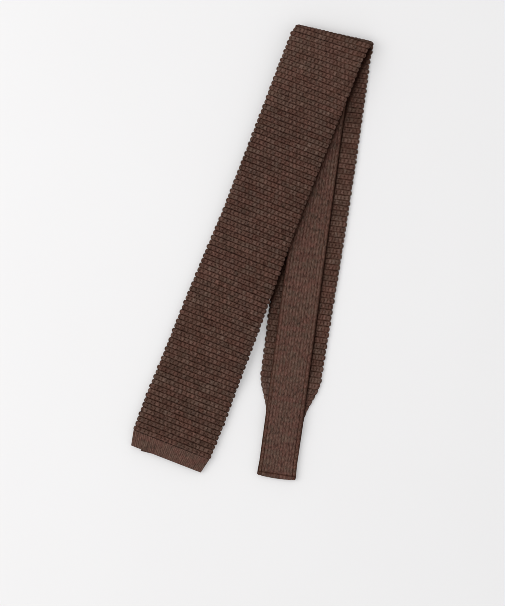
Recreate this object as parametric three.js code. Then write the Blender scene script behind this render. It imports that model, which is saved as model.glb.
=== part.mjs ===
// A knit tie, laid down folded in four. The tie is one flattened knitted tube: a wide ridged blade with a
// plain hem, a narrow plain neck band, and a ridged tail with a plain hem of its own. From the floor
// up lie the blade's upper half, the band, the tail, and the blade's lower half, which covers the tail.
import * as THREE from "three";

// Driving sizes, in millimetres and degrees
const bladeLength = 681; // along the tie, from the hem's end to the neck band
const tailLength = 345;
const bladeWidth = 67.4;
const tailWidth = 47.5;
const bandWidth = 30.4;
const taperLength = 37; // where a ridged stretch narrows to the band
const hemLength = 12;
const hemTuck = 0.9; // how far a hem's sides stand in from the ridges
const hemTaper = 2.4; // how much further in they stand at the hem's end
const ridgedThickness = 3.6; // the flattened tube, both walls
const plainThickness = 2;
const slit = 0.4; // space between the two walls
const gap = 0.3; // space between two pieces where one continues the other
const layerGap = 0.45; // space between two legs where one lies on the other
const ridgePitch = 4.06; // one knitted ridge, on the blade
const ridgeStretch = 0.17; // how much longer a ridge is where the tie narrows
const ridgeDepth = 0.5;
const edgeScallop = 1; // how far a valley stands in at the side edge
const edgeStep = 0.45; // how far every second ridge stands out there
const edgeRound = 2.6; // width of the rounded side edge

// How it lies: reaches are from fold to fold or to a hem, leans are from straight up the page
const bladeReach = 361;
const underReach = 351.5;
const tailShort = 3; // the tail's middle ends this much before the blade's end
const bladeLean = 21.3;
const underLean = 7.6;
const tailLean = 22.2;
const underBow = 1.8; // the under leg bends sideways by this much
const topSlope = 13.2; // how far each fold's crease falls to the right
const bottomSlope = 8.6;
const innerSlope = 15;
const topShift = 3.8; // the under leg leaves the top fold this far to the right
const nestShift = 4.5; // the inner fold lies this far to the right in the top fold
const topFlare = 2.6; // how much wider the cloth spreads at the top crease
const topFlareLength = 16; // and how far from the crease
const bottomFlare = 0.9;
const bottomFlareLength = 12;
const topBulge = 0.7; // how far the top fold stands out, as a share of its height
const rowTurn = 4; // how far the rows turn towards the top fold's crease
const tailSkew = 8; // how far they turn at the tail's end, where a corner shows past the blade
const rowFan = 45; // length over which they turn
const settle = 25; // length over which the cloth comes down beside what it lies on
const edgeDrop = 1.9; // how far the blade's side edges sag beside the tail
const dropStart = 0.78; // where across the half width that sag starts
const jointBlend = 6; // length over which the ridged tube thins to the plain one
const bedBlend = 14; // length over which a leg comes down where the tube under it thins
const tailReach = bladeReach - tailShort;

// Widths along the blade, as shares of its length and its width
const bladeProfile = [
  { along: 0, width: 0.985 },
  { along: 0.06, width: 1 },
  { along: 0.1, width: 0.985 },
  { along: 0.18, width: 0.965 },
  { along: 0.24, width: 0.935 },
  { along: 0.3, width: 0.9 },
  { along: 0.4, width: 0.905 },
  { along: 0.48, width: 0.92 },
  { along: 0.6, width: 0.9 },
  { along: 0.76, width: 0.825 },
  { along: 0.864, width: 0.765 },
  { along: 0.935, width: 0.734 },
  { along: 1, width: 0.727 },
];

const ease = (v) => (1 - Math.cos(Math.PI * Math.min(Math.max(v, 0), 1))) / 2;
const mix = (a, b, v) => a + (b - a) * v;
const radians = THREE.MathUtils.degToRad;
const plan = (x, y) => new THREE.Vector2(x, y);
const heading = (degrees) => plan(Math.cos(radians(degrees)), Math.sin(radians(degrees)));

// Width at a share of a profile's length
function shareAt(profile, along) {
  const next = Math.max(1, profile.findIndex((row) => row.along >= along));
  const [a, b] = [profile[next - 1], profile[next]];
  return mix(a.width, b.width, (along - a.along) / (b.along - a.along));
}

// The folds. Height is half the rise between the middles of the two legs that a fold joins, bulge is how far
// it stands out as a share of that, and flare is how much wider the cloth spreads at its crease.
const topHeight = (ridgedThickness + 2 * plainThickness + 3 * layerGap) / 2;
const nestHeight = (plainThickness + layerGap) / 2;
const topFold = { slope: topSlope, height: topHeight, bulge: topBulge, flare: topFlare, up: 1 };
const bottomFold = { slope: bottomSlope, height: nestHeight, bulge: 1, flare: bottomFlare, up: -1 };
const innerFold = { slope: innerSlope, height: nestHeight, bulge: 1, flare: 0, up: 1 };
const folds = [topFold, bottomFold, innerFold];
for (const fold of folds) {
  fold.flareLength = bottomFlareLength;
  fold.along = heading(-fold.slope);
  fold.out = heading(90 - fold.slope).multiplyScalar(fold.up);
  fold.arc = Math.PI * fold.height * Math.sqrt((1 + fold.bulge ** 2) / 2);
  fold.shift = 0;
}
topFold.flareLength = topFlareLength;
topFold.shift = topShift;

// The legs, in the order of the tie. One that goes up the page starts at a lower fold, with the face up.
function leg(start, lean, length, up) {
  const along = heading(90 - lean).multiplyScalar(up);
  return { start, lean, length, up, along, across: heading(-lean), bow: 0 };
}
const from = (point, direction, distance) => point.clone().addScaledVector(direction, distance);
topFold.at = plan(0, 0);
const bladeLeg = leg(from(topFold.at, heading(90 - bladeLean), -bladeReach), bladeLean, bladeReach, 1);
const underLeg = leg(from(topFold.at, topFold.along, topShift), underLean, underReach, -1);
underLeg.bow = underBow;
bottomFold.at = from(underLeg.start, underLeg.along, underReach);
const innerReach = innerFold.bulge * innerFold.height + plainThickness / 2 + gap;
innerFold.at = from(from(topFold.at, topFold.along, nestShift), topFold.out, -innerReach);
const bandRise = innerFold.at.clone().sub(bottomFold.at);
const bandLean = 90 - THREE.MathUtils.radToDeg(bandRise.angle());
const bandLeg = leg(bottomFold.at, bandLean, bandRise.length(), 1);
const tailLeg = leg(innerFold.at, tailLean, tailReach, -1);
const legs = [bladeLeg, underLeg, bandLeg, tailLeg];

// Where each leg and fold starts along the tie, and how the rows are turned at each leg's two ends
let along = 0;
legs.forEach((item, i) => {
  const [before, after] = [folds[i - 1], folds[i]];
  item.from = along;
  along += item.length;
  item.turnIn = before ? -2 * before.slope - before.rows + item.lean : 0;
  item.turnOut = tailSkew;
  if (!after) return;
  item.turnOut = after === topFold ? rowTurn : item.lean - after.slope;
  after.rows = item.turnOut - item.lean;
  after.from = along;
  along += after.arc;
});
const tieLength = along;

// The tie's width and thickness at a place along it
function widthAt(s) {
  const flare = folds.reduce((sum, fold) => {
    const away = Math.abs(s - fold.from - fold.arc / 2) - fold.arc / 2;
    return sum + fold.flare * (1 - ease(away / fold.flareLength));
  }, 0);
  if (s < bladeLength) {
    const body = bladeWidth * shareAt(bladeProfile, s / bladeLength);
    return flare + mix(bandWidth, body, ease((bladeLength - s) / taperLength));
  }
  return flare + mix(bandWidth, tailWidth, ease((tailLength - tieLength + s) / taperLength));
}
function thicknessAt(s, blend = jointBlend, spread = 0) {
  const reach = spread + blend / 2;
  const inside = (first, last, x) =>
    Math.min(ease((x - first + reach) / blend), ease((last - x + reach) / blend));
  const back = tieLength - s;
  const ridged = Math.max(inside(hemLength, bladeLength, s), inside(hemLength, tailLength, back));
  return mix(plainThickness, ridgedThickness, ridged);
}

// Height that a leg takes up under another, which comes down only past where the lower one has thinned
const layerAt = (s) => thicknessAt(s, bedBlend, (jointBlend + bedBlend) / 2) + layerGap;

// A point of the page in a leg's own frame: how far along the tie, and how far right of the leg's middle
function inLeg(item, point) {
  const away = point.clone().sub(item.start);
  const down = Math.min(Math.max(away.dot(item.along), 0), item.length);
  return { s: item.from + down, side: away.dot(item.across) };
}
function heightOn(item, point) {
  const { s, side } = inLeg(item, point);
  const beside = Math.abs(side) - widthAt(s) / 2 - edgeRound;
  return layerAt(s) * (1 - ease(beside / settle));
}

// The bed under the tail and the blade is straight across, and clears the under leg and the band
const bedSteps = 8;
const bedSamples = Array.from({ length: bedSteps + 1 }, (_, i) => (2 * i) / bedSteps - 1);
function bedUnderTail(point) {
  const { s, side } = inLeg(bladeLeg, point);
  const half = bladeWidth / 2;
  const middle = from(bladeLeg.start, bladeLeg.along, s - bladeLeg.from);
  const heights = bedSamples.map((share) => {
    const below = from(middle, bladeLeg.across, share * half);
    return heightOn(underLeg, below) + heightOn(bandLeg, below);
  });
  const slope = (heights.at(-1) - heights[0]) / (2 * half);
  const level = Math.max(...heights.map((z, i) => z - slope * bedSamples[i] * half));
  return level + slope * side;
}
function bedUnderBlade(point) {
  const away = point.clone().sub(tailLeg.start).dot(tailLeg.along) - tailReach;
  const tail = layerAt(inLeg(tailLeg, point).s);
  return bedUnderTail(point) + tail * (1 - ease((away - edgeRound) / settle));
}
bladeLeg.bed = bedUnderBlade;
underLeg.bed = () => 0;
bandLeg.bed = (point) => layerAt(inLeg(underLeg, point).s);
tailLeg.bed = bedUnderTail;

// A point of the tie, given along it, to the right of its middle, and above the middle of its thickness.
// Near a fold it is measured from the crease, and what lies past the crease is rolled round it.
function place(s, side, above) {
  const i = legs.findIndex((item, k) => k === legs.length - 1 || s < legs[k + 1].from);
  const item = legs[i];
  const down = s - item.from;
  const inFold = down > item.length;
  const incoming = inFold || down > item.length / 2;
  const fold = incoming ? folds[i] : folds[i - 1];
  const middle = Math.min(down, item.length);
  const turnIn = item.turnIn * (1 - ease(middle / rowFan));
  const turnOut = item.turnOut * (1 - ease((item.length - middle) / rowFan));
  const row = heading(turnIn + turnOut - item.lean);
  const bow = item.bow * Math.sin((Math.PI * middle) / item.length);
  const point = from(from(item.start, item.along, middle), item.across, bow);
  point.addScaledVector(row, side);
  const half = widthAt(s) / 2;
  const sag = Math.max(0, Math.abs(side) / half - dropStart) / (1 - dropStart);
  const lying = i === 0 ? edgeDrop * sag * ease((item.length - middle) / settle) : 0;
  const height = (leg, at) => leg.bed(at) + thicknessAt(s) / 2;
  const lay = (leg, at) => new THREE.Vector3(at.x, at.y, height(leg, at) - lying + above * leg.up);
  if (!fold) return lay(item, point);

  const away = point.clone().sub(fold.at);
  let [across, past] = [away.dot(fold.along), away.dot(fold.out)];
  if (inFold) {
    across += (fold.shift * (down - item.length)) / fold.arc;
    past += down - item.length;
  }
  if (!incoming) past = fold.arc - past;
  const [before, after] = incoming ? [item, legs[i + 1]] : [legs[i - 1], item];
  const inside = past < 0 ? past : Math.min(0, fold.arc - past);
  const flat = from(from(fold.at, fold.along, across), fold.out, inside);
  if (past <= 0) return lay(before, flat);
  if (past >= fold.arc) return lay(after, flat);
  const angle = (Math.PI * past) / fold.arc;
  const [low, high] = [height(before, flat), height(after, flat)];
  const radius = (high - low) / 2;
  const outward = Math.abs(radius) * fold.bulge - before.up * Math.sign(radius) * above;
  const rolled = from(flat, fold.out, outward * Math.sin(angle));
  const z = (low + high) / 2 + (before.up * above - radius) * Math.cos(angle);
  return new THREE.Vector3(rolled.x, rolled.y, z);
}

// One closed ring round the flattened tube: side edge, face, side edge, back
const lastColumn = 0.95; // a column stays this far in from where the edge's rounding starts
function ring(s, half, thick, round, columns) {
  const flat = half - round;
  const face = [...columns.map((share) => Math.min(share * half, lastColumn * flat)), flat];
  const right = face.map((side) => [side, thick / 2]);
  const left = [...right].reverse().map(([side, high]) => [-side, high]);
  const top = [...left, ...right];
  const back = [...top].reverse().map(([side, high]) => [side, -high]);
  return [[-half, 0], ...top, [half, 0], ...back].map(([side, high]) => place(s, side, high));
}

// A tube wall, open at both ends: its outer rings run up the tie, and its inner rings run back
function tube(outer, inner) {
  const rings = [...outer, ...[...inner].reverse()];
  const count = rings[0].length;
  const index = [];
  rings.forEach((_, r) => {
    const next = (r + 1) % rings.length;
    for (let p = 0; p < count; p++) {
      const q = (p + 1) % count;
      const [a, b, c, d] = [r * count + p, r * count + q, next * count + q, next * count + p];
      index.push(a, b, c, a, c, d);
    }
  });
  const geometry = new THREE.BufferGeometry().setFromPoints(rings.flat());
  geometry.setIndex(index);
  geometry.computeVertexNormals();
  return geometry;
}

// Places along a stretch, close together where it rolls round a fold
const foldSteps = 14;
const foldSpread = 0.5; // the close places reach this share of the fold's arc past both its ends
const nearest = 0.25; // and come no nearer to the stretch's ends than this share of a step
function steps(start, end, step) {
  const marks = folds.flatMap((fold) => {
    const first = fold.from - foldSpread * fold.arc;
    const run = (1 + 2 * foldSpread) * fold.arc;
    return Array.from({ length: foldSteps + 1 }, (_, i) => first + (run * i) / foldSteps);
  });
  const inside = marks.filter((s) => s > start + nearest * step && s < end - nearest * step);
  const stops = [start, ...inside, end];
  return stops.flatMap((s, i) => {
    if (i === 0) return [s];
    const count = Math.max(1, Math.round((s - stops[i - 1]) / step));
    return Array.from({ length: count }, (_, k) => mix(stops[i - 1], s, (k + 1) / count));
  });
}
const innerStep = 16;
function innerRings(start, end, wall, columns) {
  return steps(start, end, innerStep).map((s) => {
    const half = widthAt(s) / 2 - wall;
    return ring(s, half, slit, slit / 2, columns.map((share) => (share * (half + wall)) / half));
  });
}

// A ridged stretch has a ring in each valley and on each crest, and every second crest stands out further
function ridged(start, end, pitchAt, columns) {
  const bounds = [0];
  while (bounds.at(-1) < end - start) bounds.push(bounds.at(-1) + pitchAt(start + bounds.at(-1)));
  const scale = (end - start) / bounds.at(-1);
  const outer = bounds.flatMap((bound, i) => {
    const s = start + bound * scale;
    const half = widthAt(s) / 2 - edgeScallop;
    const valley = ring(s, half, thicknessAt(s) - 2 * ridgeDepth, edgeRound - edgeScallop, columns);
    if (i === bounds.length - 1) return [valley];
    const top = start + ((bound + bounds[i + 1]) / 2) * scale;
    const out = widthAt(top) / 2 + (i % 2 ? edgeStep : -edgeStep) / 2;
    return [valley, ring(top, out, thicknessAt(top), edgeRound, columns)];
  });
  const wall = edgeRound + edgeScallop;
  return tube(outer, innerRings(start, end, wall, columns));
}
const bandStep = 9;
const hemStep = 3;
function plain(start, end, step, sideAt, columns) {
  const round = plainThickness / 2;
  const outer = steps(start, end, step).map((s) => {
    return ring(s, widthAt(s) / 2 - sideAt(s), thicknessAt(s), round, columns);
  });
  const wall = round + Math.max(sideAt(start), sideAt(end));
  return tube(outer, innerRings(start, end, wall, columns));
}

const narrowing = (s) => 1 + ridgeStretch * ease((s - underLeg.from) / (bladeLength - underLeg.from));
const tailPitch = ridgePitch * (1 + ridgeStretch / 2);
const hemSide = (fromEnd) => hemTuck + hemTaper * (1 - fromEnd / hemLength);
const bladeColumns = [dropStart];
const tailStart = tieLength - tailLength;

const brown = { color: 0x4b3a35, roughness: 0.95, metalness: 0 };
const plainBrown = { color: 0x5a443d, roughness: 0.95, metalness: 0 };
const pieces = [
  {
    name: "blade",
    finish: brown,
    geometry: ridged(hemLength + gap, bladeLength - gap, (s) => ridgePitch * narrowing(s), bladeColumns),
  },
  { name: "blade_hem", finish: plainBrown, geometry: plain(0, hemLength, hemStep, hemSide, bladeColumns) },
  { name: "neck_band", finish: plainBrown, geometry: plain(bladeLength, tailStart, bandStep, () => 0, []) },
  {
    name: "tail",
    finish: brown,
    geometry: ridged(tailStart + gap, tieLength - hemLength - gap, () => tailPitch, []),
  },
  {
    name: "tail_hem",
    finish: plainBrown,
    geometry: plain(tieLength - hemLength, tieLength, hemStep, (s) => hemSide(tieLength - s), []),
  },
];

// The origin is under the middle of the folded tie, on the surface that it lies on
const tie = new THREE.Group();
for (const { name, finish, geometry } of pieces) {
  const mesh = new THREE.Mesh(geometry, new THREE.MeshStandardMaterial(finish));
  mesh.name = name;
  tie.add(mesh);
}
const box = new THREE.Box3().setFromObject(tie);
const centre = box.getCenter(new THREE.Vector3());
tie.position.set(-centre.x, -centre.y, -box.min.z);

export default tie;
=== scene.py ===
# A knit tie of dark brown marled wool, laid down folded in four on a pale table. From the table up lie
# the upper half of the blade, the plain neck band, the tail, and the lower half of the blade.
# Lengths are in metres and angles in degrees.
from types import SimpleNamespace

import bpy
import numpy as np
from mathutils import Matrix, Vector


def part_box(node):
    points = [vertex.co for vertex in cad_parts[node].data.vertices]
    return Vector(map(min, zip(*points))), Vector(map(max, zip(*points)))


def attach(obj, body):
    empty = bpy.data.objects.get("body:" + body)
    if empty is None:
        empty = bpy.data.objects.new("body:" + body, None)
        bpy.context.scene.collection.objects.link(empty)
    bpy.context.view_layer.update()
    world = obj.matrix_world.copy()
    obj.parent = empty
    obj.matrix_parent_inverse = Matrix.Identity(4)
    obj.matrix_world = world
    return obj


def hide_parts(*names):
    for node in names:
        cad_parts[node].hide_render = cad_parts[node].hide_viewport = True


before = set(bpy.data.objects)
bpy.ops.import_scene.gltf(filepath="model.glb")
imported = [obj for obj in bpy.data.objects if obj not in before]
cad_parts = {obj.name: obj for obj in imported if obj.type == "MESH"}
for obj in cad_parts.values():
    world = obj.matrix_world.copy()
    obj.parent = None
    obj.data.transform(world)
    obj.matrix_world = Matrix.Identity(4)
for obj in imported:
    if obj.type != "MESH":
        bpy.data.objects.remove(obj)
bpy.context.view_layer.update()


# The table is a plain pale top that is also lit from within, so that shadows on it are faint. A broad soft
# lamp stands at the upper left, the room's light is even, and the camera hangs straight above, with the
# folded tie in the upper part of its picture.
scene = bpy.context.scene
scene.view_settings.view_transform = "Standard"
scene.cycles.filter_width = 0.8  # as crisp as the photograph
table_side = 8
table_drop = 0.0002  # keeps the table clear of the wool that touches it
metres_per_pixel = 0.0008
picture_height = 606
look_at = (0, -0.0404)
camera_height = 2.6
camera_chip = 36  # in millimetres, as the lens is

bpy.ops.object.select_all(action="DESELECT")
bpy.ops.mesh.primitive_plane_add(size=table_side, location=(0, 0, -table_drop))
table = bpy.context.object
table.name = "table"

bpy.ops.object.camera_add(location=(*look_at, camera_height))
camera = bpy.context.object
camera.data.sensor_width = camera_chip
camera.data.lens = camera_chip * camera_height / (metres_per_pixel * picture_height)
camera.data.clip_end = 50
scene.camera = camera

lamp_place = (-0.92, 0.1, 1.2)
bpy.ops.object.light_add(type="AREA", location=lamp_place)
lamp = bpy.context.object
lamp.data.size = 1.2
lamp.data.energy = 10.8
lamp.data.color = (1, 0.99, 0.98)
lamp.rotation_mode = "QUATERNION"
lamp.rotation_quaternion = lamp.location.to_track_quat("Z", "Y")

room = bpy.data.worlds.new("room")
room.use_nodes = True
room.node_tree.nodes["Background"].inputs["Color"].default_value = (0.99, 0.99, 1, 1)
room.node_tree.nodes["Background"].inputs["Strength"].default_value = 0.748
scene.world = room


def add_node(material, kind, sockets, **settings):
    """Adds a shader node, and sets or links each named socket."""
    made = material.node_tree.nodes.new(kind)
    for name, value in settings.items():
        setattr(made, name, value)
    for name, value in sockets.items():
        if isinstance(value, bpy.types.NodeSocket):
            material.node_tree.links.new(value, made.inputs[name])
        else:
            made.inputs[name].default_value = value
    return made


def new_material(name):
    """An empty node material."""
    material = bpy.data.materials.new(name)
    material.use_nodes = True
    material.node_tree.nodes.clear()
    return material


def finish_material(material, shader):
    """Gives the material its output."""
    add_node(material, "ShaderNodeOutputMaterial", {"Surface": shader.outputs["BSDF"]})


pale = new_material("table_top")
places = add_node(pale, "ShaderNodeTexCoord", {})
clouding = add_node(
    pale, "ShaderNodeTexNoise", {"Vector": places.outputs["Object"], "Scale": 9, "Detail": 2}
)
pale_tone = add_node(
    pale,
    "ShaderNodeMix",
    {"A": (0.613, 0.607, 0.607, 1), "B": (0.627, 0.624, 0.625, 1), "Factor": clouding.outputs["Fac"]},
    data_type="RGBA",
)
finish_material(
    pale,
    add_node(
        pale,
        "ShaderNodeBsdfPrincipled",
        {
            "Base Color": pale_tone.outputs[2],
            "Roughness": 0.8,
            "Emission Color": (1, 1, 1, 1),
            "Emission Strength": 0.23,
        },
    ),
)
table.data.materials.append(pale)


# The tie is one flattened knitted tube. It is folded at the top, at the bottom, and again inside the top
# fold, so that four legs lie on each other. These sizes say how it is knitted and how it lies.
blade_length = 0.681
tail_length = 0.345
blade_width = 0.0674
tail_width = 0.0475
band_width = 0.0304
taper_length = 0.037
hem_length = 0.012
ridged_thickness = 0.0036
plain_thickness = 0.002
slit = 0.0004
piece_gap = 0.0003
layer_gap = 0.00045
blade_reach, blade_lean = 0.361, 21.3
under_reach, under_lean, under_bow = 0.3515, 7.6, 0.0018
tail_reach, tail_lean = 0.358, 22.2
top_shift, nest_shift = 0.0038, 0.0045
row_turn, tail_skew, row_fan = 4, 8, 0.045  # the rows turn over this length before and after a fold
settle = 0.025  # beside a layer under it the cloth comes down over this length
edge_drop, drop_start = 0.0019, 0.78  # the blade's sides hang down from this share of its half width
edge_round = 0.0026  # how wide the rounding of a ridged side edge is
joint_blend, bed_blend = 0.006, 0.014  # lengths over which the knits' thickness and what lies on them change
crown_level = 0.6  # a crowned fold stands out in its middle and draws back at its sides

# Widths along the blade, as shares of its length and its width
blade_profile = np.array(
    [
        (0, 0.985),
        (0.06, 1),
        (0.1, 0.985),
        (0.18, 0.965),
        (0.24, 0.935),
        (0.3, 0.9),
        (0.4, 0.905),
        (0.48, 0.92),
        (0.6, 0.9),
        (0.76, 0.825),
        (0.864, 0.765),
        (0.935, 0.734),
        (1, 0.727),
    ]
)


def ease(v):
    """Goes smoothly from 0 to 1."""
    return (1 - np.cos(np.pi * np.clip(v, 0, 1))) / 2


def mix(a, b, v):
    return a + (b - a) * v


def heading(degrees):
    """A direction on the page, where a point is a complex number."""
    return np.exp(1j * np.radians(degrees))


def along_line(point, direction):
    """How far a point lies along a direction."""
    return (point * np.conj(direction)).real


nest_height = (plain_thickness + layer_gap) / 2
top_height = (ridged_thickness + 2 * plain_thickness + 3 * layer_gap) / 2
top_fold = SimpleNamespace(slope=13.2, height=top_height, bulge=0.7, up=1, shift=top_shift, crown=0)
top_fold.flare, top_fold.flare_length = 0.0026, 0.016
bottom_fold = SimpleNamespace(slope=8.6, height=nest_height, bulge=1, up=-1, shift=0, crown=0.001)
bottom_fold.flare, bottom_fold.flare_length = 0.0009, 0.012
inner_fold = SimpleNamespace(slope=15, height=nest_height, bulge=1, up=1, shift=0, crown=0)
inner_fold.flare, inner_fold.flare_length = 0, 0.012
folds = [top_fold, bottom_fold, inner_fold]
for fold in folds:
    fold.along = heading(-fold.slope)
    fold.out = heading(90 - fold.slope) * fold.up
    fold.arc = np.pi * fold.height * np.sqrt((1 + fold.bulge**2) / 2)


def new_leg(start, lean, length, up):
    """A straight stretch of the tie. up is 1 where it runs up the page, and -1 where it runs down."""
    leg = SimpleNamespace(start=start, lean=lean, length=length, up=up, bow=0)
    leg.along = heading(90 - lean) * up
    leg.across = heading(-lean)
    return leg


top_fold.at = 0
blade_leg = new_leg(-heading(90 - blade_lean) * blade_reach, blade_lean, blade_reach, 1)
under_leg = new_leg(top_fold.along * top_shift, under_lean, under_reach, -1)
under_leg.bow = under_bow
bottom_fold.at = under_leg.start + under_leg.along * under_reach
inner_reach = inner_fold.bulge * inner_fold.height + plain_thickness / 2 + piece_gap
inner_fold.at = top_fold.along * nest_shift - top_fold.out * inner_reach
band_rise = inner_fold.at - bottom_fold.at
band_leg = new_leg(bottom_fold.at, 90 - np.degrees(np.angle(band_rise)), abs(band_rise), 1)
tail_leg = new_leg(inner_fold.at, tail_lean, tail_reach, -1)
legs = [blade_leg, under_leg, band_leg, tail_leg]

# Where each leg and fold begins along the tie, and how far the rows are turned at the leg's two ends
tie_length = 0
for leg, before, after in zip(legs, [None, *folds], [*folds, None]):
    leg.begin = tie_length
    tie_length += leg.length
    leg.turn_in = leg.lean - before.rows - 2 * before.slope if before else 0
    leg.turn_out = tail_skew
    if after:
        leg.turn_out = row_turn if after is top_fold else leg.lean - after.slope
        after.rows = leg.turn_out - leg.lean
        after.begin = tie_length
        tie_length += after.arc


def width_at(s):
    """The tie's width at a place along it, from the end of the blade."""
    flare = 0
    for fold in folds:
        away = np.abs(s - fold.begin - fold.arc / 2) - fold.arc / 2
        flare = flare + fold.flare * (1 - ease(away / fold.flare_length))
    blade = blade_width * np.interp(s / blade_length, *blade_profile.T)
    blade = mix(band_width, blade, ease((blade_length - s) / taper_length))
    tail = mix(band_width, tail_width, ease((s - tie_length + tail_length) / taper_length))
    return flare + np.where(s < blade_length, blade, tail)


def thickness_at(s, blend=joint_blend, spread=0):
    """The flattened tube's thickness: the ridged stretches are thicker than the plain ones."""
    back = tie_length - s
    thick = 0
    for place, length in ((s, blade_length), (back, tail_length)):
        first = ease((place - hem_length + spread) / blend + 0.5)
        last = ease((length - place + spread) / blend + 0.5)
        thick = np.maximum(thick, np.minimum(first, last))
    return mix(plain_thickness, ridged_thickness, thick)


def layer_at(s):
    """The height that a leg takes up under another."""
    return thickness_at(s, bed_blend, (joint_blend + bed_blend) / 2) + layer_gap


def height_on(leg, point):
    """How high a point of the page is held by this leg under it, or beside its edge."""
    away = point - leg.start
    s = leg.begin + np.clip(along_line(away, leg.along), 0, leg.length)
    beside = np.abs(along_line(away, leg.across)) - width_at(s) / 2 - edge_round
    return layer_at(s) * (1 - ease(beside / settle))


def bed_under_tail(point):
    """The tail and the blade lie straight across, clear of the under leg and the band."""
    away = point - blade_leg.start
    down = np.clip(along_line(away, blade_leg.along), 0, blade_leg.length)
    middle = blade_leg.start + blade_leg.along * down
    samples = np.linspace(-1, 1, 9)[:, None] * blade_width / 2
    below = middle + blade_leg.across * samples
    heights = height_on(under_leg, below) + height_on(band_leg, below)
    slope = (heights[-1] - heights[0]) / blade_width
    level = (heights - slope * samples).max(axis=0)
    return level + slope * along_line(away, blade_leg.across)


def bed_under_blade(point):
    down = along_line(point - tail_leg.start, tail_leg.along)
    s = tail_leg.begin + np.clip(down, 0, tail_reach)
    return bed_under_tail(point) + layer_at(s) * (1 - ease((down - tail_reach - edge_round) / settle))


def bed_under_band(point):
    down = along_line(point - under_leg.start, under_leg.along)
    return layer_at(under_leg.begin + np.clip(down, 0, under_reach))


blade_leg.bed = bed_under_blade
under_leg.bed = lambda point: np.zeros(point.shape)
band_leg.bed = bed_under_band
tail_leg.bed = bed_under_tail


def lay_half(leg, fold, before, after, s, side, above):
    """Lays the half of a leg that runs into a fold, or comes out of one, and half of the roll round it."""
    down = s - leg.begin
    middle = np.minimum(down, leg.length)
    turn_in = leg.turn_in * (1 - ease(middle / row_fan))
    turn_out = leg.turn_out * (1 - ease((leg.length - middle) / row_fan))
    bow = leg.bow * np.sin(np.pi * middle / leg.length)
    point = leg.start + leg.along * middle + leg.across * bow
    point = point + heading(turn_in + turn_out - leg.lean) * side
    half_thick = thickness_at(s) / 2
    sag = np.maximum(0, np.abs(side) / (width_at(s) / 2) - drop_start) / (1 - drop_start)
    lying = edge_drop * sag * ease((leg.length - middle) / settle) * (leg is blade_leg)
    if not fold:
        z = leg.bed(point) + half_thick - lying + above * leg.up
        return np.stack([point.real, point.imag, z], axis=-1)

    away = point - fold.at
    over = np.maximum(down - leg.length, 0)
    across = along_line(away, fold.along) + fold.shift * over / fold.arc
    past = along_line(away, fold.out) + over
    if leg is after:
        past = fold.arc - past
    inside = np.where(past < 0, past, np.minimum(0, fold.arc - past))
    flat = fold.at + fold.along * across + fold.out * inside
    low, high = before.bed(flat) + half_thick, after.bed(flat) + half_thick
    angle = np.pi * np.clip(past / fold.arc, 0, 1)
    radius = (high - low) / 2
    outward = np.abs(radius) * fold.bulge - before.up * np.sign(radius) * above
    outward = outward + fold.crown * (crown_level - (2 * across / width_at(s)) ** 2)
    rolled = flat + fold.out * outward * np.sin(angle)
    z = (low + high) / 2 + (before.up * above - radius) * np.cos(angle) - lying
    return np.stack([rolled.real, rolled.imag, z], axis=-1)


def lay(s, side, above):
    """Where the tie's points come to lie. s is the place along the tie, side is to the right of its middle
    line, and above is from the middle of its thickness towards its face."""
    s, side, above = np.broadcast_arrays(s, side, above)
    points = np.empty((*s.shape, 3))
    which = np.searchsorted([leg.begin for leg in legs[1:]], s, side="right")
    for i, leg in enumerate(legs):
        late = s - leg.begin > leg.length / 2
        for chosen, k in (((which == i) & ~late, i - 1), ((which == i) & late, i)):
            if not chosen.any():
                continue
            fold, before, after = None, None, None
            if 0 <= k < len(folds):
                fold, before, after = folds[k], legs[k], legs[k + 1]
            points[chosen] = lay_half(leg, fold, before, after, s[chosen], side[chosen], above[chosen])
    return points + tie_shift


# The blade's hem has its lower corners where the frame's hem has them
hem_tuck, hem_taper = 0.0009, 0.0024
tie_shift = np.zeros(3)
hem_half = width_at(np.zeros(1)) / 2 - hem_tuck - hem_taper
hem_left, hem_right = lay(np.zeros(1), -hem_half, 0)[0], lay(np.zeros(1), hem_half, 0)[0]
hem_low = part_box("blade_hem")[0]
tie_shift = np.array([hem_low.x - hem_left[0], hem_low.y - hem_right[1], 0])


def dome(phase, power):
    """A rounded rise from 0 to 1 and back over one stitch."""
    return np.sqrt(np.maximum(0, 1 - np.abs(2 * phase - 1) ** power))


def round_tube(q, half, thick, corner, sink, side_sink, bump_out):
    """Side and height of places q round the flattened tube: q runs from 0 at the left edge to 1 at the right
    edge across the face, and on to 2 across the back. sink lowers the faces, and side_sink and bump_out
    move the side edges in and out."""
    q = q % 2
    facing = np.where(q < 1, 1, -1)
    turn = np.pi / 2 * np.sqrt((corner**2 + (thick / 2) ** 2) / 2)
    flat = 2 * (half - corner)
    run = np.where(q < 1, q, 2 - q) * (2 * turn + flat)
    left, right = np.clip(run / turn, 0, 1), np.clip((2 * turn + flat - run) / turn, 0, 1)
    bend = np.pi / 2 * np.minimum(left, right)
    hand = np.where(left < right, -1, 1)
    side = np.clip(run - turn, 0, flat) - flat / 2 + hand * np.cos(bend) * (corner - side_sink + bump_out)
    return side, facing * np.sin(bend) * (thick / 2 - sink)


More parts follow.
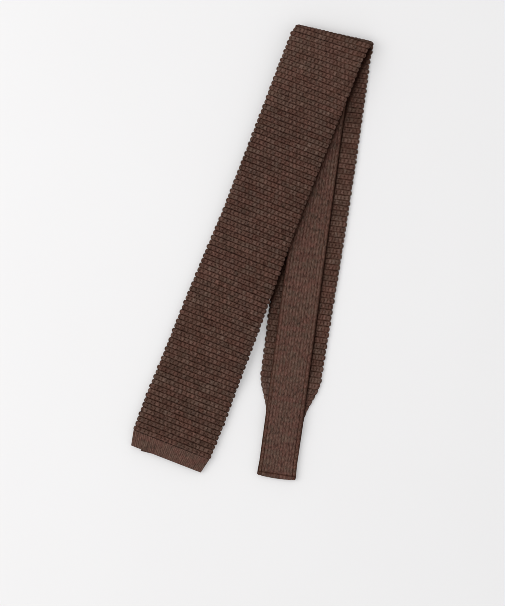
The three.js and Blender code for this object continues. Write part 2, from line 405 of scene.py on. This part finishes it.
def knit_mesh(name, outer, inner, stitch_along, stitch_across, sunk, tone, hue):
    """One closed tube wall: its outer rings run up the tie, and its inner rings run back."""
    points = np.concatenate([outer, inner[::-1]])
    rings, count = points.shape[:2]
    extra = len(inner)
    corner = np.arange(rings * count).reshape(rings, count)
    following = np.roll(corner, -1, axis=0)
    faces = np.stack(
        [corner, np.roll(corner, -1, axis=1), np.roll(following, -1, axis=1), following], axis=-1
    )
    mesh = bpy.data.meshes.new(name)
    mesh.from_pydata(points.reshape(-1, 3).tolist(), [], faces.reshape(-1, 4).tolist())
    mesh.shade_smooth()

    rows = np.concatenate([stitch_along, np.full(extra, stitch_along[-1])])
    next_rows = np.roll(rows, -1)
    next_rows[-1] = rows[-1]
    columns = np.append(stitch_across, stitch_across[0] + round(np.ptp(stitch_across)))
    u = np.stack([columns[:-1], columns[1:], columns[1:], columns[:-1]], axis=-1)
    u = np.broadcast_to(u, (rings, count, 4))
    v = np.stack([rows, rows, next_rows, next_rows], axis=-1)[:, None, :]
    v = np.broadcast_to(v, (rings, count, 4))
    stitches = mesh.uv_layers.new(name="stitches")
    stitches.data.foreach_set("uv", np.stack([u, v], axis=-1).ravel())
    for label, values in (("sunk", sunk), ("tone", tone), ("hue", hue)):
        padding = np.zeros((extra, count)) + (label == "sunk")
        whole = np.concatenate([values, padding]).astype(np.float32)
        mesh.attributes.new(label, "FLOAT", "POINT").data.foreach_set("value", whole.ravel())
    piece = bpy.data.objects.new(name, mesh)
    scene.collection.objects.link(piece)
    return piece


# The blade is knitted in ridges of rounded stitches, and each ridge stands half a stitch off the last. Its
# side edges are loops that stand out by turns. It is one ridged tube of marled wool, and it is made here in
# five stretches: two of its front, its top fold, and two of its under leg.
ridge_pitch = 0.00402
ridge_stretch = 0.17  # how much longer a ridge is where the blade narrows
ridge_depth = 0.00115
ridge_roundness = 1.8
edge_scallop = 0.0014  # how deep the notches between the side edge's loops are
edge_step = 0.0004  # how much further every other loop stands out
shift_height = 0.2  # the stitches of each row stand between those below, and shift over this share of a row
smooth_end, end_relief = 0.055, 0.25  # before the neck band the ridges fade to this share over this length
end_dark = 0.5  # and the painted shade of their hollows to this share of it
left_tuck, corner_tuck, corner_length = 0.0012, 0.0012, 0.006  # the top fold's left side is drawn in
blade_stitches = 20  # across one face
row_places = np.array([0, 0.1, 0.25, 0.5, 0.75, 0.9])
fine_places = np.array([0, 0.12, 0.3, 0.5, 0.7, 0.88])
coarse_places = np.array([0, 0.2, 0.5, 0.8])
inner_every = 4  # ridges from one ring of the inner wall to the next, away from the folds
valley_from = 0.4  # in a fold its rings are only those that lie this far from a ridge's middle

# How loosely it is knitted over the top fold, on the front and behind, and where the front grows tighter
loose_fold, loose_front, loose_under = 0.6, 0.25, 0.6
tighter_from, tighter_length = 0.02, 0.07

# The hollows, as shares of the relief, of a ridge's height and of a stitch's width
gap_sharpness = 0.6
first_valley = 0.5  # the valley where the knit begins is shallower
valley_depth, valley_slack, valley_bridge = 1.06, 0.24, 0.6
tight_notch, loose_notch, crease_notch = 0.12, 0.3, 0.35
tight_hole, loose_hole, hole_height = 0.8, 0.62, 0.22
dimple_depth, dimple_height, dimple_width = 0.22, 0.14, 0.18

# How far the stitches swell, the valleys fill up, and rows, stitches and loops stray from their places
swell_range, fill_range = (0.8, 1), (0.6, 1.12)
row_stray, stitch_stray, loop_stray = 0.00022, 0.00011, 0.0001
side_stray = 0.1  # as a share of a stitch
short_wave, long_wave = 5.3, 17  # the rows wander in two waves, with this many ridges to a radian
short_turn, long_turn = 2.1, 3.7  # and this many radians across a face

# The wool is painted darker beside the legs on top of it, as painted shade, and lighter where it is knitted
# loosely
shade_reach = 0.0034  # how far the painted shade beside the blade's edge reaches
line_reach = 0.0012  # the same for the thin lines of painted shade along the neck band
shade_tone, shade_dark = -3.5, 0.85
loose_tone, ridged_tone = 4, -0.7


def ridge_valleys(start, end, pitch_at):
    """The places along the tie of the valleys between ridges."""
    marks = [0]
    while marks[-1] < end - start:
        marks.append(marks[-1] + pitch_at(start + marks[-1]))
    return start + np.array(marks) * (end - start) / marks[-1]


def yarn_marks(rows, columns, seed):
    """A value for each stitch, which changes slowly along the yarn from stitch to stitch."""
    neighbour_share, marks_range = 0.5, 1.6
    marks = np.random.default_rng(seed).normal(size=(rows, columns))
    for shift in (1, 2):
        marks = marks + np.roll(marks, shift, axis=1) * neighbour_share
    return marks / marks_range


def openness(s):
    """How far the stitches are drawn apart, so that they read as a basket: least of all on the front."""
    away = np.abs(s - top_fold.begin - top_fold.arc / 2)
    least = np.where(s < under_leg.begin, loose_front, loose_under)
    return mix(loose_fold, least, ease((away - tighter_from) / tighter_length))


def left_draw(s):
    """How far the left side is drawn in: at the top fold, and most of all at its corner."""
    away = np.maximum(0, np.abs(s - top_fold.begin - top_fold.arc / 2) - top_fold.arc / 2)
    tuck = left_tuck * (1 - ease(away / top_fold.flare_length))
    return tuck + corner_tuck * (1 - ease(away / corner_length))


def shade_beside(leg, points, reach):
    """How deep a point lies in the narrow gap beside the right edge of a leg on top of it, which sets how
    much painted shade it gets.
    """
    away = (points - tie_shift) @ np.array([1, 1j, 0]) - leg.start
    half = width_at(leg.begin + np.clip(along_line(away, leg.along), 0, leg.length)) / 2
    beside = along_line(away, leg.across) - half
    return np.exp(-((np.maximum(beside, 0) / reach) ** 2)) * (beside > -reach)


def near_fold(s):
    """Whether a place along the tie is in a fold or just beside one."""
    return np.any([np.abs(s - fold.begin - fold.arc / 2) < fold.arc for fold in folds], axis=0)


def inner_wall(s, kept, q, half):
    """The inside of the tube round its slit, with a ring at each kept place and at the two ends."""
    kept = kept | (s == s[0]) | (s == s[-1])
    side, above = round_tube(q, half[kept], slit, slit / 2, 0, 0, 0)
    return lay(s[kept][:, None], side, above)


def stitch_relief(s, ridge, across, lift, swell, filled):
    """How far each point is sunk below the tops of the stitches: in the valleys between ridges, in the
    notches and holes between stitches, and in the dimple of each stitch. The wool paints sunk places darker,
    as painted shade."""
    up_ridge, over_stitch = (ridge % 1)[:, None], across % 1
    loose = openness(s)[:, None]
    gap = (1 - dome(over_stitch, 2)) ** gap_sharpness
    hole = gap * np.exp(-(((up_ridge - 0.5) / hole_height) ** 2))
    dimple = np.exp(-(((up_ridge - 0.5) / dimple_height) ** 2) - ((over_stitch - 0.5) / dimple_width) ** 2)
    crease = np.exp(-(((s - top_fold.begin - top_fold.arc / 2) / ridge_pitch) ** 2))[:, None]
    begun = mix(first_valley, 1, ease(ridge[:, None]))
    valley = (1 - lift) * (1 - valley_bridge * loose * gap) * mix(1, filled, 1 - gap)
    valley = valley * begun * (valley_depth - valley_slack * loose)
    notch = mix(tight_notch, loose_notch, loose) + crease_notch * crease
    pinch = (1 - notch * gap) * (1 - mix(tight_hole, loose_hole, loose) * hole)
    pinch = pinch * (1 - dimple_depth * dimple)
    return 1 - (1 - valley) * pinch * swell


def ridged_piece(name, valleys, first, last, stitches, fine_face, seed):
    """A stretch of ridged tube from one valley to another. It has most points on its face where fine_face
    is 1, and on its back where that is -1."""
    ridge = np.append((np.arange(first, last)[:, None] + row_places).ravel(), last)
    s = np.interp(ridge, np.arange(len(valleys)), valleys)
    across = []
    for stitch in range(2 * stitches):
        on_face = stitch <= stitches
        on_back = stitch >= stitches or stitch == 0
        fine = on_face if fine_face > 0 else on_back
        across.append(stitch + (fine_places if fine else coarse_places))
    across = np.concatenate(across)
    q = (across - 0.5) / stitches
    row, column = np.minimum(ridge.astype(int), last - 1), across.astype(int)
    nearest = np.rint(across)

    total = len(valleys)
    tone = yarn_marks(total, 2 * stitches, seed)[row][:, column]
    hue = yarn_marks(total, 2 * stitches, seed + 1)[row][:, column]
    uneven = np.random.default_rng(seed + 2)
    swell = uneven.uniform(*swell_range, (total, 2 * stitches))[row][:, column]
    filled = uneven.uniform(*fill_range, (total, 2 * stitches))[row][:, column]
    rise = uneven.normal(0, stitch_stray, (total, 2 * stitches))[row][:, column]
    slip = uneven.normal(0, side_stray, (total, 2 * stitches))[row]
    slip = slip[:, nearest.astype(int) % (2 * stitches)]
    stray = uneven.normal(0, loop_stray, total)[row][:, None]

    lift = dome((ridge % 1)[:, None], ridge_roundness)
    sunk = stitch_relief(s, ridge, across, lift, swell, filled)
    to_band = np.abs(s - blade_length) if s[0] < blade_length else tie_length
    relief = (np.zeros(len(s)) + mix(end_relief, 1, ease(to_band / smooth_end)))[:, None]

    short = np.sin(ridge[:, None] / short_wave + short_turn * q)
    long = np.sin(long_turn * q + ridge[:, None] / long_wave)
    s_now = (s[:, None] + row_stray * short * long + rise * lift).clip(valleys[0], valleys[-1])
    own_shift = np.where(row % 2 == 0, 0.5, 0)
    from_valley = np.minimum(ridge % 1, 1 - ridge % 1)
    row_shift = mix(0.5 - own_shift, own_shift, ease(from_valley / (2 * shift_height) + 0.5))
    q_now = q + slip * lift * (1 - 2 * np.abs(across - nearest)) / stitches
    q_now = q_now + row_shift[:, None] / stitches
    by_turns = np.where(row % 2 == 1, 1, -1)[:, None]
    loops = by_turns * lift * edge_step / 2 + stray * lift

    half, thick = width_at(s)[:, None] / 2, thickness_at(s)[:, None]
    face_sink = ridge_depth * sunk * relief
    side_sink = edge_scallop * (1 - lift) * relief
    side, above = round_tube(q_now, half, thick, edge_round, face_sink, side_sink, loops * relief)
    side = side + left_draw(s)[:, None] * np.clip(-side / half, 0, 1)
    outer = lay(s_now, side, above)
    by_valley = np.abs(ridge % 1 - 0.5) > valley_from
    kept = (near_fold(s) & by_valley) | ((ridge % 1 == 0) & (ridge.astype(int) % inner_every == 0))
    inner = inner_wall(s, kept, q, half - edge_round - edge_scallop)

    # painted shade: the under leg's wool is darkened in the gaps beside the blade's and the neck band's
    # right edges
    on_under_leg = ease((s - under_leg.begin) / shade_reach) * (s < bottom_fold.begin)
    beside = shade_beside(blade_leg, outer, shade_reach) + shade_beside(band_leg, outer, line_reach)
    beside = np.minimum(beside, 1) * on_under_leg[:, None]
    tone = tone + shade_tone * beside + loose_tone * openness(s)[:, None] + ridged_tone
    sunk = np.maximum(sunk, shade_dark * beside) * mix(end_dark, 1, relief)
    return knit_mesh(name, outer, inner, ridge, across, sunk, tone, hue)


def blade_pitch(s):
    """The height of a ridge, which grows along the under leg as the blade narrows."""
    narrowed = (s - under_leg.begin) / (blade_length - under_leg.begin)
    return ridge_pitch * (1 + ridge_stretch * ease(narrowed))


fibre_scale = 620
fibre_relief = 0.45
marl_size = 3.5  # times a fibre's
tint_spread = 0.22
tone_strength = 0.1
hollow_spread = 0.6  # below 1, a slight hollow gets painted shade too


def wool(material, light, red, dark, speckling, bump_height, stitch_bump, strand_shade):
    """Marled wool: each stitch has its own tone and tint, between a light and a red brown. Sunk places
    are painted redder and darker, as painted shade, and fine fibres cover it."""
    plain = 1 - speckling / 2 - strand_shade / 2
    strands = stitch_bump(material)
    places = add_node(material, "ShaderNodeTexCoord", {})
    sunk = add_node(material, "ShaderNodeAttribute", {}, attribute_name="sunk")
    tone = add_node(material, "ShaderNodeAttribute", {}, attribute_name="tone")
    hue = add_node(material, "ShaderNodeAttribute", {}, attribute_name="hue")
    fibres = add_node(
        material,
        "ShaderNodeTexNoise",
        {"Vector": places.outputs["Object"], "Scale": fibre_scale, "Detail": 4, "Roughness": 0.65},
    )
    marl = add_node(
        material,
        "ShaderNodeTexNoise",
        {"Vector": places.outputs["Object"], "Scale": fibre_scale / marl_size, "Detail": 2},
    )
    tint = add_node(
        material,
        "ShaderNodeMath",
        {0: hue.outputs["Fac"], 1: tint_spread, 2: marl.outputs["Fac"]},
        operation="MULTIPLY_ADD",
    )
    tint_range = add_node(
        material, "ShaderNodeMapRange", {"Value": tint.outputs[0], "From Min": 0.2, "From Max": 0.8}
    )
    yarn_colour = add_node(
        material,
        "ShaderNodeMix",
        {"A": light, "B": red, "Factor": tint_range.outputs[0]},
        data_type="RGBA",
    )
    speckle = add_node(
        material,
        "ShaderNodeMath",
        {0: fibres.outputs["Fac"], 1: speckling, 2: plain},
        operation="MULTIPLY_ADD",
    )
    lined = add_node(
        material,
        "ShaderNodeMath",
        {0: strands, 1: strand_shade, 2: speckle.outputs[0]},
        operation="MULTIPLY_ADD",
    )
    brightness = add_node(
        material,
        "ShaderNodeMath",
        {0: tone.outputs["Fac"], 1: tone_strength, 2: lined.outputs[0]},
        operation="MULTIPLY_ADD",
    )
    toned = add_node(
        material,
        "ShaderNodeVectorMath",
        {0: yarn_colour.outputs[2], "Scale": brightness.outputs[0]},
        operation="SCALE",
    )
    # painted shade: the deeper a point is sunk, the redder and darker its colour
    depth = add_node(
        material, "ShaderNodeMath", {0: sunk.outputs["Fac"], 1: hollow_spread}, operation="POWER"
    )
    reddened = add_node(
        material,
        "ShaderNodeMix",
        {"A": toned.outputs[0], "B": (1, 0.75, 0.58, 1), "Factor": depth.outputs[0]},
        data_type="RGBA",
        blend_type="MULTIPLY",
    )
    colour = add_node(
        material,
        "ShaderNodeMix",
        {"A": reddened.outputs[2], "B": dark, "Factor": depth.outputs[0]},
        data_type="RGBA",
    )
    relief = add_node(
        material,
        "ShaderNodeMath",
        {0: fibres.outputs["Fac"], 1: fibre_relief, 2: strands},
        operation="MULTIPLY_ADD",
    )
    bump = add_node(
        material,
        "ShaderNodeBump",
        {"Height": relief.outputs[0], "Distance": bump_height, "Strength": 1},
    )
    shader = add_node(
        material,
        "ShaderNodeBsdfPrincipled",
        {
            "Base Color": colour.outputs[2],
            "Roughness": 0.92,
            "Specular IOR Level": 0.04,
            "Sheen Weight": 0.01,
            "Sheen Roughness": 0.5,
            "Sheen Tint": (0.7, 0.5, 0.42, 1),
            "Normal": bump.outputs[0],
        },
    )
    finish_material(material, shader)


def twisted_strands(material):
    """Fine diagonal plies across each rounded stitch."""
    stitches = add_node(material, "ShaderNodeUVMap", {}, uv_map="stitches")
    turned = add_node(
        material,
        "ShaderNodeMapping",
        {"Vector": stitches.outputs[0], "Rotation": (0, 0, np.radians(35)), "Scale": (1, 1.2, 1)},
    )
    plies = add_node(
        material,
        "ShaderNodeTexWave",
        {"Vector": turned.outputs[0], "Scale": 0.9, "Distortion": 1.5, "Detail": 1, "Detail Scale": 2},
    )
    return plies.outputs["Fac"]


ridged_wool = new_material("ridged_wool")
wool(
    ridged_wool,
    light=(0.163, 0.117, 0.099, 1),
    red=(0.168, 0.099, 0.083, 1),
    # dark is the colour of the painted shade in the deepest hollows
    dark=(0.011, 0.0029, 0.0014, 1),
    speckling=2.9,
    bump_height=0.00025,
    stitch_bump=twisted_strands,
    strand_shade=0.1,
)

blade_valleys = ridge_valleys(hem_length + piece_gap, blade_length - piece_gap, blade_pitch)
ridges = len(blade_valleys) - 1
front_split = ridges // 4
fold_ridge = int(np.searchsorted(blade_valleys, top_fold.begin))
fold_first, fold_last = fold_ridge - 2, fold_ridge + 6
under_split = fold_ridge + (ridges - fold_ridge) // 2
stretches = (
    ("blade_front_low", 0, front_split, 1),
    ("blade_front_high", front_split, fold_first, 1),
    ("blade_fold", fold_first, fold_last, 1),
    ("blade_under_high", fold_last, under_split, -1),
    ("blade_under_low", under_split, ridges, -1),
)
for name, first, last, fine_face in stretches:
    piece = ridged_piece(name, blade_valleys, first, last, blade_stitches, fine_face, seed=5)
    piece.data.materials.append(ridged_wool)
    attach(piece, "root")
    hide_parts("blade")


# The tail is the narrow end of the tie, in the same ridged knit and wool with fourteen stitches across. It
# lies inside the top fold, between the neck band and the front of the blade, and hardly shows.
tail_pitch = ridge_pitch * (1 + ridge_stretch / 2)
tail_stitches = 14
tail_start = tie_length - tail_length
tail_end = tie_length - hem_length - piece_gap
tail_valleys = ridge_valleys(tail_start + piece_gap, tail_end, lambda s: tail_pitch)
tail = ridged_piece("tail_knit", tail_valleys, 0, len(tail_valleys) - 1, tail_stitches, 1, seed=23)
tail.data.materials.append(ridged_wool)
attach(tail, "root")
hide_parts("tail")


# The neck band and the two hems are plain jersey, a finer and thinner knit of the same wool, whose stitches
# stand in columns along the tie. A chain of longer stitches runs down each side of the band, and the band
# is pinched where it rolls over. The band's side edges and the pinch are darkened with painted shade.
seam = 0.00005  # what is left of the gap where a plain piece meets a ridged one
wale_width = 0.0024
wale_depth, wale_dark, wale_sharpness = 0.0002, 0.25, 1.3
course = 0.0038
wale_places = np.array([0, 0.14, 0.32, 0.5, 0.68, 0.86])
band_step, hem_step, inner_step = 0.00095, 0.0008, 0.006  # from one ring of points to the next
fold_rings = 24
chain_depth = 0.0005
chain_pitch = 0.0026
chain_length = 0.11  # the chain shows less and less over this length from the bottom fold
chain_near, chain_far, chain_tone = 0.75, 0.2, 1.4
bead_dark, bead_stray, bead_turn = 0.75, 0.15, 7.3
bead_roundness, link_roundness = 2.5, 3
rim_dark = 0.35
pinch_place, pinch_width, pinch_dark = 0.001, 0.0005, 0.6
mark_length, mark_tone = 0.004, 0.7  # how long and how strong the marled yarn's marks are
line_tone, line_dark = -2, 0.45  # painted shade where the band lies beside the blade's edge


def plain_piece(name, start, end, side_at, step, wales, chain, tint, seed):
    """A stretch of plain tube. Its sides are drawn in by side_at, chain is 1 where a chain runs down each
    side of it and 0 elsewhere, and tint makes its wool lighter or darker; the tail hem's darker tint is
    painted shade."""
    marks = [start]
    for fold in folds:
        near = np.linspace(fold.begin - fold.arc / 2, fold.begin + 1.5 * fold.arc, fold_rings)
        marks.extend(near[(near > start + step / 4) & (near < end - step / 4)])
    marks.append(end)
    s = [np.array([start])]
    for a, b in zip(marks, marks[1:]):
        s.append(np.linspace(a, b, max(1, round((b - a) / step)) + 1)[1:])
    s = np.concatenate(s)
    across = (np.arange(2 * wales)[:, None] + wale_places).ravel()
    q = (across - 0.5) / wales

    column = across.astype(int)
    at_edge = np.isin(column, (1, wales - 1, wales + 1, 2 * wales - 1)) | np.isin(across, (2, wales + 2))
    # the gaps between wales and between the chain's beads are sunk, and the wool paints them darker as
    # painted shade
    between = (1 - dome(across % 1, 2)) ** wale_sharpness * wale_dark
    sunk = np.broadcast_to(between, (len(s), len(across))).copy()
    along_chain = s[:, None] / chain_pitch + bead_stray * np.sin(bead_turn * across)
    beads = 1 - dome(along_chain % 1, bead_roundness)
    link = 1 - dome(across % 1, link_roundness)
    chained = 1 - (1 - link) * (1 - bead_dark * beads)
    to_fold = s[:, None] - bottom_fold.begin - bottom_fold.arc
    clear = chain * mix(chain_near, chain_far, ease(to_fold / chain_length))
    sunk[:, at_edge] = mix(sunk, chained, clear)[:, at_edge]
    # painted shade: the band's side edges, where it turns down away from the light, are darkened
    sunk = np.maximum(sunk, np.isin(column, (0, wales)) * chain * rim_dark)
    # the pinch is a shallow groove where the band rolls over, and its dark line is mostly painted shade
    pinch = np.exp(-(((s - bottom_fold.begin - bottom_fold.arc - pinch_place) / pinch_width) ** 2))
    sunk = np.maximum(sunk, pinch_dark * pinch[:, None])
    mark = (s / mark_length).astype(int)
    tone = yarn_marks(mark.max() + 1, 2 * wales, seed)[mark][:, column] * mark_tone
    tone = tone + chain_tone * clear * at_edge + tint
    hue = yarn_marks(mark.max() + 1, 2 * wales, seed + 1)[mark][:, column]

    half, thick = width_at(s)[:, None] / 2 - side_at(s)[:, None], thickness_at(s)[:, None]
    corner = plain_thickness / 2
    depth = mix(wale_depth, chain_depth, at_edge * chain)
    side, above = round_tube(q, half, thick, corner, depth * sunk, wale_depth * sunk, 0)
    outer = lay(s[:, None], side, above)
    kept = np.arange(len(s)) % max(1, round(inner_step / step)) == 0
    inner = inner_wall(s, kept | near_fold(s), q, half - corner)

    # painted shade: a thin dark line on the band beside the blade's right edge
    on_band = (s > band_leg.begin) & (s < inner_fold.begin)
    beside = shade_beside(blade_leg, outer, line_reach) * on_band[:, None]
    tone = tone + line_tone * beside
    sunk = np.maximum(sunk, line_dark * beside)
    return knit_mesh(name, outer, inner, s / course, across, sunk, tone, hue)


arm_slant = 1.1


def jersey_stitches(material):
    """Short strokes of yarn, which slant up and outwards in the two arms of each column's V stitches."""
    stitches = add_node(material, "ShaderNodeUVMap", {}, uv_map="stitches")
    split = add_node(material, "ShaderNodeSeparateXYZ", {"Vector": stitches.outputs[0]})
    phase = add_node(material, "ShaderNodeMath", {0: split.outputs["X"]}, operation="FRACT")
    centred = add_node(material, "ShaderNodeMath", {0: phase.outputs[0], 1: 0.5}, operation="SUBTRACT")
    arm = add_node(material, "ShaderNodeMath", {0: centred.outputs[0]}, operation="ABSOLUTE")
    raised = add_node(
        material,
        "ShaderNodeMath",
        {0: arm.outputs[0], 1: -arm_slant, 2: split.outputs["Y"]},
        operation="MULTIPLY_ADD",
    )
    slanted = add_node(material, "ShaderNodeCombineXYZ", {"X": split.outputs["X"], "Y": raised.outputs[0]})
    strokes = add_node(
        material,
        "ShaderNodeTexNoise",
        {"Vector": slanted.outputs[0], "Scale": 1.5, "Detail": 2, "Roughness": 0.6},
    )
    sharper = add_node(
        material,
        "ShaderNodeMapRange",
        {"Value": strokes.outputs["Fac"], "From Min": 0.3, "From Max": 0.7},
    )
    return sharper.outputs[0]


plain_wool = new_material("plain_wool")
wool(
    plain_wool,
    light=(0.100, 0.063, 0.0485, 1),
    red=(0.109, 0.055, 0.044, 1),
    # dark is the colour of the painted shade in the deepest gaps
    dark=(0.018, 0.0065, 0.004, 1),
    speckling=1,
    bump_height=0.0003,
    stitch_bump=jersey_stitches,
    strand_shade=1.1,
)


def hem_side(from_end):
    """How far a hem's sides are drawn in: most of all at the tie's end."""
    return hem_tuck + hem_taper * (1 - from_end / hem_length)


band = plain_piece(
    "neck_band_knit",
    blade_length - piece_gap + seam,
    tail_start + piece_gap - seam,
    side_at=lambda s: 0 * s,
    step=band_step,
    wales=round(band_width / wale_width),
    chain=1,
    tint=0,
    seed=31,
)
blade_hem = plain_piece(
    "blade_hem_knit",
    0,
    hem_length + piece_gap - seam,
    side_at=hem_side,
    step=hem_step,
    wales=44,
    chain=0,
    tint=0.8,
    seed=41,
)
tail_hem = plain_piece(
    "tail_hem_knit",
    tail_end + seam,
    tie_length,
    side_at=lambda s: hem_side(tie_length - s),
    step=hem_step,
    wales=31,
    chain=0,
    # painted shade: the tail hem lies in shadow under the blade, so its wool is darkened
    tint=-1.4,
    seed=51,
)
plain_pieces = (
    (band, "neck_band", 2 * band_width, tail_start - blade_length, "blade"),
    (blade_hem, "blade_hem", 2 * blade_width, hem_length, "tail_hem"),
    (tail_hem, "tail_hem", 2 * tail_width, hem_length, "neck_band"),
)
for piece, node, flat_width, flat_length, below in plain_pieces:
    piece.data.materials.append(plain_wool)
    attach(piece, "root")
    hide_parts(node)
